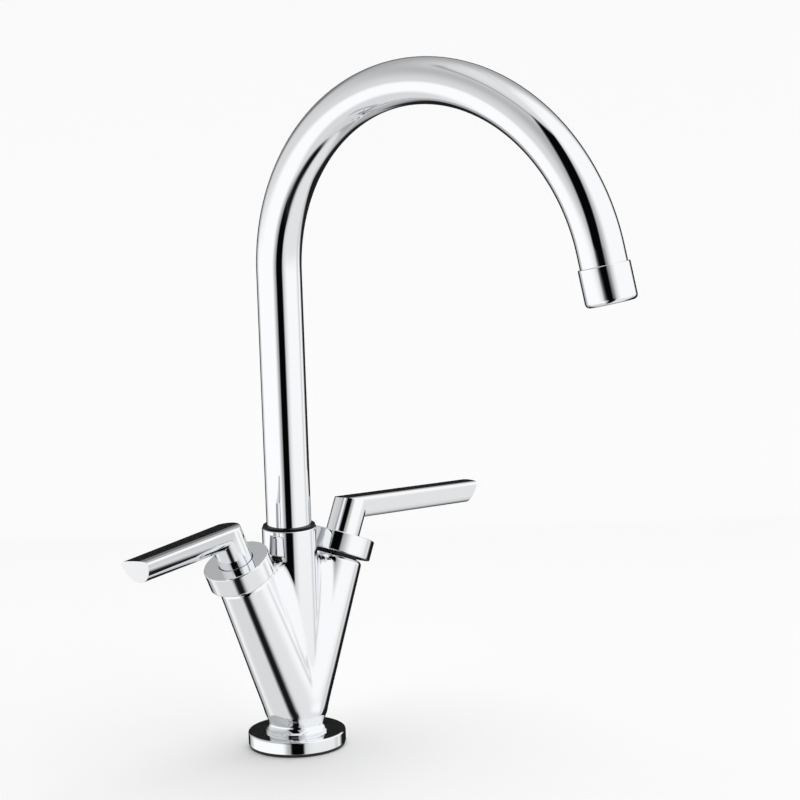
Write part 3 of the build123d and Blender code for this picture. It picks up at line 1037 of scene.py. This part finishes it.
    def drills(self) -> list[Object]:
        """Returns the drills of the underside and of the rear screw hole, in metres."""
        holes = [(sign * self.inlet_x, 0.0, self.inlet_r, self.inlet_depth) for sign in (-1, 1)]
        holes += [(0.0, sign * self.stud_y, self.stud_r, self.stud_depth) for sign in (-1, 1)]
        tools = [
            drill(radius, 2 * depth, METRES @ Matrix.Translation((x, y, self.spigot_low)))
            for x, y, radius, depth in holes
        ]
        rear = Matrix.Translation((0, self.screw_y, self.screw_z)) @ QUARTER_TURN
        return [*tools, drill(self.screw_r, self.screw_len, METRES @ rear)]

    def build(self) -> None:
        """Builds the casting with its bores, foot and tapped holes."""
        bm = self.rough()
        self.settle(bm)
        self.soften_root(bm)
        self.shape_ends(bm)
        tidy_normals(bm)
        self.soften_neck(bm)
        bmesh.ops.transform(bm, matrix=METRES, verts=bm.verts)
        made = scratch_object(bm, "casting")
        for tool in self.drills():
            boolean(made, tool)
        finish_piece(made, PieceOrder("casting", "tap_body", CHROME_CAST, "chrome_body", "body_casting"))


# ---------------------------------------------------------------- spout


@dataclass(frozen=True)
class Spout:
    """The swan neck tube, the black ring in the post's mouth and the aerator's cap."""

    wall: float = 1.2
    low: float = 105.92
    rise_top: float = 235.4
    bend_r: float = 94.6
    bend_deg: float = 166.5
    outlet_run: float = 6.9
    engagement: float = 7.4
    cap_r: float = 11.98
    cap_len: float = 17.5
    cap_end_round: float = 2.2
    cap_top_round: float = 0.5
    cap_mouth_r: float = 9.3
    cap_ledge: float = 10.6
    ring_r: float = 12.8
    ring_sleeve_r: float = 12.0
    ring_bore_r: float = 11.05
    ring_low: float = 104.1
    ring_rim_t: float = 1.2
    ring_round: float = 0.3

    @property
    def swing(self) -> Matrix:
        """The spout's turn about the post."""
        return Matrix.Rotation(math.radians(SIZES.spout_swing), 4, "Z")

    @property
    def outlet_way(self) -> Vector:
        """The water's way out, before the swing."""
        turn = math.radians(self.bend_deg)
        return Vector((0, -math.sin(turn), math.cos(turn)))

    def outlet_frame(self) -> Matrix:
        """Returns the frame at the end of the straight run, with Z along the water's way out."""
        turn = math.radians(self.bend_deg)
        way, across = self.outlet_way, Vector((1, 0, 0))
        end = Vector((0, math.cos(turn) - 1, math.sin(turn))) * self.bend_r
        end += Vector((0, 0, self.rise_top)) + way * self.outlet_run
        return self.swing @ axes(across, way.cross(across), way, end)

    def tube(self) -> None:
        """Builds the bent tube with its wall."""
        bm = bmesh.new()
        foot = Matrix.Translation((0, 0, self.low))
        for radius in (SIZES.tube_r, SIZES.tube_r - self.wall):
            bmesh.ops.create_circle(bm, segments=96, radius=radius, matrix=foot)
        bmesh.ops.bridge_loops(bm, edges=bm.edges[:])
        _, bend_start = extrude(bm, bm.faces[:], (0, 0, self.rise_top - self.low))
        bent = bmesh.ops.spin(
            bm,
            geom=bend_start,
            cent=(0, -self.bend_r, self.rise_top),
            axis=(1, 0, 0),
            angle=math.radians(self.bend_deg),
            steps=170,
        )
        bend_end = only(BMFace, bent["geom_last"])
        extrude(bm, bend_end, self.outlet_way * (self.outlet_run + self.engagement))
        inside = [face for face in bend_start + bend_end if face.is_valid]
        bmesh.ops.delete(bm, geom=inside, context="FACES")
        tidy_normals(bm)
        order = PieceOrder("swan_neck", "spout", CHROME_TUBE, "chrome_spout", "spout_tube")
        placed_piece(bm, self.swing, order)

    def cap(self) -> None:
        """Builds the aerator's chrome cap."""
        inside = (self.cap_mouth_r, self.cap_ledge), (self.ring_bore_r, 0)
        bm = lathe(stepped((self.cap_r, self.cap_len), *inside))
        end, top = (self.cap_r, self.cap_len, self.cap_end_round, 10), (self.cap_r, 0, self.cap_top_round, 5)
        round_rims(bm, end, top)
        order = PieceOrder("aerator_cap", "spout", CHROME_TURNED, "chrome_spout", "aerator_housing")
        placed_piece(bm, self.outlet_frame(), order)

    def bearing(self) -> None:
        """Builds the black ring between the post and the tube."""
        ledge = SIZES.post_top
        top = ledge + self.ring_rim_t
        sleeve, bore = (self.ring_sleeve_r, ledge), (self.ring_bore_r, self.ring_low)
        bm = lathe(stepped(sleeve, (self.ring_r, top), bore), steps=128)
        round_rims(bm, (self.ring_r, top, self.ring_round, 3))
        order = PieceOrder("bearing_ring", "tap_body", BLACK_PLASTIC, "black_plastic", "spout_bearing_ring")
        placed_piece(bm, UPRIGHT, order)

    def build(self) -> None:
        """Builds the three pieces."""
        self.tube()
        self.cap()
        self.bearing()


# ---------------------------------------------------------------- levers


@dataclass(frozen=True)
class Lever:
    """One side's shroud ring and handle."""

    side: Side
    turn_deg: float
    ring_r: float = 16.4
    ring_h: float = 9.9
    ring_lift: float = 1.2
    ring_round: float = 0.6
    ring_room_r: float = 12.05
    ring_room_top: float = 79.9
    ring_neck_r: float = 9.0
    ring_neck_top: float = 85.3
    ring_mouth_r: float = 8.7
    mouth_round: float = 0.25
    mouth_shine: float = 0.5
    stem_r: float = 8.4
    stem_low: float = 85.6
    stem_chamfer: float = 0.5
    stem_bore_r: float = 4.05
    stem_bore_top: float = 97.0
    angle: float = 68.2
    top_s: float = 108.1
    length: float = 68.45
    width_root: float = 16.6
    width_tip: float = 16.0
    depth_root: float = 11.9
    depth_tip: float = 11.3
    end_slant: float = 3.1
    crown: float = 0.8
    crown_reach: float = 5.2
    eaves_gap: float = 0.02
    edge_round: float = 2.2
    rear_round: float = 0.5
    rear_depth: float = 1.0
    end_round: float = 0.35
    screw_s: float = 92.0
    screw_r: float = 2.0
    bar_past: float = 1.0
    tool_past: float = 2.0
    sharp_deg: float = 30.0

    def ring(self) -> None:
        """Builds the wide chrome ring, painted near black inside and underneath as the shade in the gap
        above the arm.
        """
        low = SIZES.arm_len + self.ring_lift
        top = low + self.ring_h
        neck = (self.ring_mouth_r, self.ring_neck_top), (self.ring_neck_r, self.ring_room_top)
        bm = lathe(stepped((self.ring_r, top), *neck, (self.ring_room_r, low)))
        outer = (self.ring_r, top, self.ring_round, 4), (self.ring_r, low, self.ring_round, 4)
        round_rims(bm, *outer, (self.ring_mouth_r, top, self.mouth_round, 3))
        # Faces inside the ring and on its underside get the near-black brass, painted shade for the gap
        # above the arm.
        for face in bm.faces:
            middle = face.calc_center_median()
            within = middle.xy.length < self.ring_room_r and middle.z < top - self.mouth_shine
            face.material_index = int(within or middle.z < low + NEAR)
        name, node = f"{self.side.label}_shroud", f"{self.side.label}_shroud_ring"
        order = PieceOrder(name, "tap_body", CHROME_TURNED, "chrome_handle", node, inner_finish=SHADE_DARK_BRASS)
        placed_piece(bm, arm_frame(self.side), order)

    def lever_frame(self) -> Matrix:
        """Returns the lever's frame in the arm's: X across, Y out of the flat top, Z towards the tip."""
        lean = math.radians(self.angle)
        up = Vector((-math.cos(lean), 0, math.sin(lean)))
        way = Vector((math.sin(lean), 0, math.cos(lean)))
        return axes(Vector((0, 1, 0)), up, way, (0, 0, self.top_s))

    def bar(self) -> Object:
        """Returns the tapering elliptical bar that the lever is cut from."""
        bm = bmesh.new()
        shape = Matrix.Diagonal((self.width_root / 2, self.depth_root, 1.0, 1.0))
        bmesh.ops.create_circle(bm, cap_ends=True, segments=128, radius=1.0, matrix=shape)
        tip, _ = extrude(bm, bm.faces[:], (0, 0, self.length + self.bar_past))
        shrink = (self.width_tip / self.width_root, self.depth_tip / self.depth_root, 1.0)
        bmesh.ops.scale(bm, vec=shrink, verts=tip)
        bmesh.ops.recalc_face_normals(bm, faces=bm.faces)
        bmesh.ops.transform(bm, matrix=self.lever_frame(), verts=bm.verts)
        return scratch_object(bm, "lever_bar")

    def stem(self) -> Object:
        """Returns the round stem, longer than needed."""
        bm = bmesh.new()
        length = self.top_s + 2 * self.stem_r - self.stem_low
        rod(bm, self.stem_r, length, Matrix.Translation((0, 0, self.stem_low + length / 2)), segments=160)
        round_rims(bm, (self.stem_r, self.stem_low, self.stem_chamfer, 1))
        return scratch_object(bm, "lever_stem")

    def crown_cutter(self) -> Object:
        """Returns the block whose hollow underside shapes the lever's crowned top and its long edges."""
        eaves = self.width_root / 2 + self.eaves_gap
        ledge = -self.crown - self.edge_round
        wide, high = 3 * self.width_root, 3 * self.stem_r
        outline = (
            (-wide, ledge),
            (-eaves, ledge),
            (-eaves, -self.crown),
            (0, 0),
            (eaves, -self.crown),
            (eaves, ledge),
            (wide, ledge),
            (wide, high),
            (-wide, high),
        )
        bm = bmesh.new()
        section = bm.faces.new([bm.verts.new((x, y, 0)) for x, y in outline])
        ahead, behind = self.length + self.tool_past, -2 * self.stem_r
        far, _ = extrude(bm, [section], (0, 0, ahead))
        near = [vert for vert in bm.verts if vert not in far]
        bmesh.ops.translate(bm, vec=(0, 0, behind), verts=near)
        taper = (1 - self.width_tip / self.width_root) / self.length
        for verts, reach in ((far, ahead), (near, behind)):
            bmesh.ops.scale(bm, vec=(1 - taper * reach, 1, 1), verts=verts)
        bmesh.ops.recalc_face_normals(bm, faces=bm.faces)
        bm.normal_update()
        for height, size, segments in ((-self.crown, self.edge_round, 12), (0.0, self.crown_reach, 16)):
            long = [edge for edge in bm.edges if edge.calc_length() > self.length]
            ridge = [edge for edge in long if all(abs(vert.co.y - height) < NEAR for vert in edge.verts)]
            bevel(bm, ridge, size, segments)
        bmesh.ops.transform(bm, matrix=self.lever_frame(), verts=bm.verts)
        return scratch_object(bm, "crown_cutter")

    def trim(self, bm: BMesh) -> None:
        """Cuts the slanted end, closes it and rounds its edge and the top's rear edge.

        Args:
            bm: the handle in millimetres.
        """
        at = self.lever_frame()
        turn = at.to_3x3()
        slope = turn @ Vector((0, -self.depth_tip, -self.end_slant))
        end_out = (turn @ Vector((1, 0, 0))).cross(slope).normalized()
        if end_out.dot(turn @ Vector((0, 0, 1))) < 0:
            end_out.negate()
        tip = at @ Vector((0, 0, self.length))
        loop = cut_off(bm, bm.verts[:] + bm.edges[:] + bm.faces[:], tip, end_out)
        end = bmesh.ops.contextual_create(bm, geom=loop)["faces"]
        bm.normal_update()
        self.round_sharp(bm, [edge for face in end for edge in face.edges], self.end_round, segments=3)
        back = at.inverted()

        def on_rear(edge: BMEdge) -> bool:
            """Tells whether an edge is on the top's rim behind the stem's middle."""
            places = [back @ vert.co for vert in edge.verts]
            return all(place.z < 0 and place.y > -self.crown - self.rear_depth for place in places)

        self.round_sharp(bm, filter(on_rear, bm.edges), self.rear_round, segments=4)

    def round_sharp(
        self, bm: BMesh, edges: Iterable[BMEdge], size: float, segments: int
    ) -> None:
        """Rounds the sharp ones of some edges.

        Args:
            bm: the handle in millimetres.
            edges: the edges to look through.
            size: the rounding's radius.
            segments: how many facets it gets.
        """
        limit = math.radians(self.sharp_deg)
        bevel(bm, [edge for edge in edges if edge.calc_face_angle(0.0) > limit], size, segments, clamp=True)

    def drills(self) -> list[Object]:
        """Returns the drills of the spindle's bore and of the screw hole at the rear."""
        deep = self.stem_bore_top - self.stem_low + self.tool_past
        middle = Matrix.Translation((0, 0, self.stem_bore_top - deep / 2))
        rear = Matrix.Translation((0, self.side.value * self.stem_r, self.screw_s)) @ QUARTER_TURN
        screw_len = 2 * (self.stem_r - self.stem_bore_r / 2)
        return [
            drill(self.stem_bore_r, deep, middle),
            drill(self.screw_r, screw_len, rear, segments=32),
        ]

    def handle(self) -> None:
        """Builds the handle: stem and lever in one, bored for its spindle and its screw."""
        made = self.stem()
        boolean(made, self.bar(), "UNION")
        boolean(made, self.crown_cutter())
        bm = bmesh_of(made.data)
        bmesh.ops.remove_doubles(bm, verts=bm.verts, dist=DOUBLE)
        self.trim(bm)
        bm.to_mesh(made.data)
        bm.free()
        for tool in self.drills():
            boolean(made, tool)
        turn = Matrix.Rotation(math.radians(-self.side.value * self.turn_deg), 4, "Z")
        made.data.transform(METRES @ arm_frame(self.side) @ turn)
        body = f"{self.side.label}_lever"
        node = f"{self.side.label}_handle"
        finish_piece(made, PieceOrder(f"{body}_handle", body, CHROME_LEVER, "chrome_handle", node))

    def build(self) -> None:
        """Builds both pieces."""
        self.ring()
        self.handle()


# ---------------------------------------------------------------- carried-over nodes


@dataclass(frozen=True)
class CarriedNodes:
    """The finishes of the CAD nodes, by how their names end."""

    endings: tuple[tuple[Finish, tuple[str, ...]], ...] = (
        # The valve bodies get the near-black brass, painted shade in the gaps under the shroud rings.
        (SHADE_DARK_BRASS, ("valve_body",)),
        (BRASS, ("spindle", "spigot")),
        (CERAMIC, ("disc",)),
        (STEEL, ("screw", "clip")),
        (RUBBER, ("seal", "seals", "washer", "gasket")),
        (BLACK_PLASTIC, ("bearing_ring",)),
        (PALE_PLASTIC, ("insert",)),
        (CHROME_CAST, ("casting",)),
        (CHROME_TUBE, ("tube",)),
        (CHROME_TURNED, ("flange", "housing", "shroud_ring")),
        (CHROME_LEVER, ("handle",)),
    )

    def build(self) -> None:
        """Gives every CAD node its finish."""
        for name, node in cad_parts.items():
            finish = next(finish for finish, endings in self.endings if name.endswith(endings))
            node.data.materials.clear()
            node.data.materials.append(finish.make())
            LOG.info("%s: %s", name, finish.name)


# ---------------------------------------------------------------- studio


@dataclass(frozen=True)
class Camera:
    """The camera at the photograph's viewing angle; angles in degrees, lengths in millimetres."""

    elevation: float = 10.74
    roll: float = -1.85
    distance: float = 1538.61
    target_across: float = 56.02
    target_height: float = 170.96
    lens: float = 143.15
    sensor: float = 36.0
    nearest_m: float = 0.05
    farthest_m: float = 50.0

    def build(self) -> None:
        """Sets up the scene's camera."""
        tip, roll = math.radians(self.elevation), math.radians(self.roll)
        back = Vector((math.sin(FRONT) * math.cos(tip), -math.cos(FRONT) * math.cos(tip), math.sin(tip)))
        right = (-back).cross(Vector((0, 0, 1))).normalized()
        up = right.cross(-back).normalized()
        target = right * self.target_across + Vector((0, 0, self.target_height))
        image_x = right * math.cos(roll) + up * math.sin(roll)
        image_y = up * math.cos(roll) - right * math.sin(roll)
        data = bpy.data.cameras.new("camera")
        data.lens, data.sensor_width = self.lens, self.sensor
        data.clip_start, data.clip_end = self.nearest_m, self.farthest_m
        camera = bpy.data.objects.new("camera", data)
        camera.matrix_world = axes(image_x, image_y, back, (target + back * self.distance) * MM)
        bpy.context.scene.collection.objects.link(camera)
        bpy.context.scene.camera = camera


@dataclass(frozen=True)
class Panel:
    """One soft-edged card or softbox of the surroundings, placed by the angles from the tap.

    Args:
        name: what it is.
        azimuth: degrees to the right of the camera.
        elevation: degrees above the horizon.
        half_width: half its width in degrees.
        half_height: half its height in degrees.
        soft_across: width of its fading sides in degrees.
        soft_up: height of its fading top and bottom in degrees.
        level: its brightness.
        lean: degrees that it shifts to the right for each degree up.
    """

    name: str
    azimuth: float
    elevation: float
    half_width: float
    half_height: float
    soft_across: float
    soft_up: float
    level: float
    lean: float = 0.0


@dataclass(frozen=True)
class SkyNodes(Nodes):
    """Adds the nodes of the surroundings."""

    def calculate(self, operation: str, *values: Value) -> NodeSocket:
        """Returns what a Math node's operation makes of some values."""
        return self.add("ShaderNodeMath", "Value", dict(enumerate(values)), operation=operation)

    def mix(self, share: NodeSocket, first: Value, second: Value, label: str) -> NodeSocket:
        """Returns the first value where the share is 0 and the second where it is 1."""
        return self.add("ShaderNodeMix", "Result", {"Factor": share, "A": first, "B": second}, label=label)

    def within(self, offset: NodeSocket, half: float, soft: float) -> NodeSocket:
        """Fades a panel out at its sides.

        Args:
            offset: the angle from the panel's middle, of either sign.
            half: its half width.
            soft: the width of the fading.

        Returns:
            An output that is 1 inside the half width and 0 outside it.
        """
        fade = {"From Min": half - soft / 2, "From Max": half + soft / 2, "To Min": 1.0, "To Max": 0.0}
        fade["Value"] = self.calculate("ABSOLUTE", offset)
        return self.add("ShaderNodeMapRange", "Result", fade, interpolation_type="SMOOTHSTEP")

    def angles(self) -> tuple[NodeSocket, NodeSocket]:
        """Returns the azimuth to the right of the front and the elevation, both in degrees."""
        place = self.add("ShaderNodeTexCoord", "Generated", {})
        right, ahead = (math.cos(FRONT), math.sin(FRONT), 0), (math.sin(FRONT), -math.cos(FRONT), 0)
        aside, forth, up = (
            self.add("ShaderNodeVectorMath", "Value", {0: place, 1: axis}, operation="DOT_PRODUCT")
            for axis in (right, ahead, (0, 0, 1))
        )
        azimuth = self.calculate("ARCTAN2", aside, forth)
        return self.calculate("DEGREES", azimuth), self.calculate("DEGREES", self.calculate("ARCSINE", up))


@dataclass(frozen=True)
class Studio:
    """The pale floor, the white surroundings with their cards, and the soft overhead light."""

    floor_size: float = 6.0
    backdrop_level: float = 1.0
    base_level: float = 0.45
    overhead_angle: float = 70.0
    overhead_tilt: float = -20.0
    overhead_power: float = 1.35
    card_distance: float = 0.46
    card_height: float = 0.24
    card_left: float = 0.26
    card_right: float = 0.40
    panels: tuple[Panel, ...] = (
        Panel("top of the tent", 0, 90, 180, 34, 10, 44, 0.82),
        Panel("left wall", -88, -2, 48, 30, 30, 50, 0.76),
        Panel("grey joint of the tent", -66, 59, 58, 2, 20, 6, 0.36),
        Panel("right softbox", 84, 28, 58, 56, 36, 36, 1.05),
        Panel("table on the right", 75, -54, 58, 38, 50, 16, 0.84),
        Panel("table below the camera", -60, -76, 90, 13, 40, 16, 0.7),
        Panel("left softbox over the table", -76, -28, 50, 26, 18, 12, 1.08),
        Panel("table on the left", -72, -54, 56, 14, 20, 14, 0.76),
        Panel("dark card above the camera", -8, 31, 18.5, 30.5, 7, 6, 0.002, 0.25),
        Panel("dark gap below the camera", 2, -14, 16, 23, 7, 6, 0.002),
        Panel("dark gap over the table", 1, -52, 16, 20, 18, 12, 0.01, 0.15),
        Panel("dark gap at the table's edge", 2, -66, 18, 10, 26, 14, 0.006),
        Panel("dark card behind on the right", 157, -16, 30, 34, 16, 14, 0.012, 0.6),
        Panel("grey post beside the right softbox", 108, -32, 5, 28, 16, 12, 0.66),
        Panel("dark card behind on the left", -163, -24, 17, 26, 8, 14, 0.012),
        Panel("grey card behind on the left", -160, 12, 20, 10, 16, 14, 0.2),
    )

    def floor(self) -> None:
        """Lays the pale floor."""
        bm = bmesh.new()
        bmesh.ops.create_grid(bm, x_segments=1, y_segments=1, size=self.floor_size)
        made = scratch_object(bm, "floor")
        made.data.materials.append(PALE_FLOOR.make())
        made.visible_glossy = False

    def card(self) -> None:
        """Stands the black card behind the tap, which only its chrome sees."""
        bm = bmesh.new()
        bmesh.ops.create_grid(bm, x_segments=1, y_segments=1, size=0.5)
        bmesh.ops.scale(bm, vec=(self.card_left + self.card_right, self.card_height, 1), verts=bm.verts)
        aside = (self.card_right - self.card_left) / 2
        stand = Matrix.Translation((aside, self.card_distance, self.card_height / 2))
        turn = Matrix.Rotation(FRONT, 4, "Z")
        bmesh.ops.transform(bm, matrix=turn @ stand @ QUARTER_TURN, verts=bm.verts)
        made = scratch_object(bm, "dark card")
        made.data.materials.append(BLACK_CARD.make())
        made.visible_camera = made.visible_diffuse = made.visible_shadow = False

    def world(self) -> None:
        """Sets the surroundings: white to the camera, cards and softboxes in the reflections."""
        world = bpy.data.worlds.new("studio")
        bpy.context.scene.world = world
        world.use_nodes = True
        sky = SkyNodes(world.node_tree)
        azimuth, elevation = sky.angles()
        level: Value = self.base_level
        for panel in self.panels:
            above = sky.calculate("SUBTRACT", elevation, panel.elevation)
            slide = sky.calculate("MULTIPLY_ADD", above, -panel.lean, azimuth)
            aside = sky.calculate("WRAP", sky.calculate("SUBTRACT", slide, panel.azimuth), 180.0, -180.0)
            across = sky.within(aside, panel.half_width, panel.soft_across)
            up = sky.within(above, panel.half_height, panel.soft_up)
            level = sky.mix(sky.calculate("MULTIPLY", across, up), level, panel.level, panel.name)
        ray = sky.add("ShaderNodeLightPath", "Is Camera Ray", {})
        seen = sky.mix(ray, level, self.backdrop_level, "backdrop")
        background = sky.tree.nodes["Background"]
        sky.feed(background.inputs["Strength"], seen)
        background.inputs["Color"].default_value = (1.0, 1.0, 1.0, 1.0)

    def overhead(self) -> None:
        """Hangs the broad soft light that whitens the floor."""
        data = bpy.data.lights.new("overhead", "SUN")
        data.angle = math.radians(self.overhead_angle)
        data.energy = self.overhead_power
        light = bpy.data.objects.new("overhead", data)
        light.rotation_euler = (math.radians(self.overhead_tilt), 0, FRONT)
        light.visible_glossy = False
        bpy.context.scene.collection.objects.link(light)

    def build(self) -> None:
        """Builds the floor, the black card, the surroundings and the light."""
        bpy.context.scene.view_settings.view_transform = "Standard"
        self.floor()
        self.card()
        self.world()
        self.overhead()


def main() -> None:
    """Builds the tap, its finishes and the studio in order."""
    logging.basicConfig(level=logging.INFO, format="%(name)s: %(message)s")
    CarriedNodes().build()
    Base().build()
    Casting().build()
    Spout().build()
    Lever(Side.HOT, turn_deg=12.8).build()
    Lever(Side.COLD, turn_deg=14.7).build()
    Camera().build()
    Studio().build()


if __name__ == "__main__":
    main()
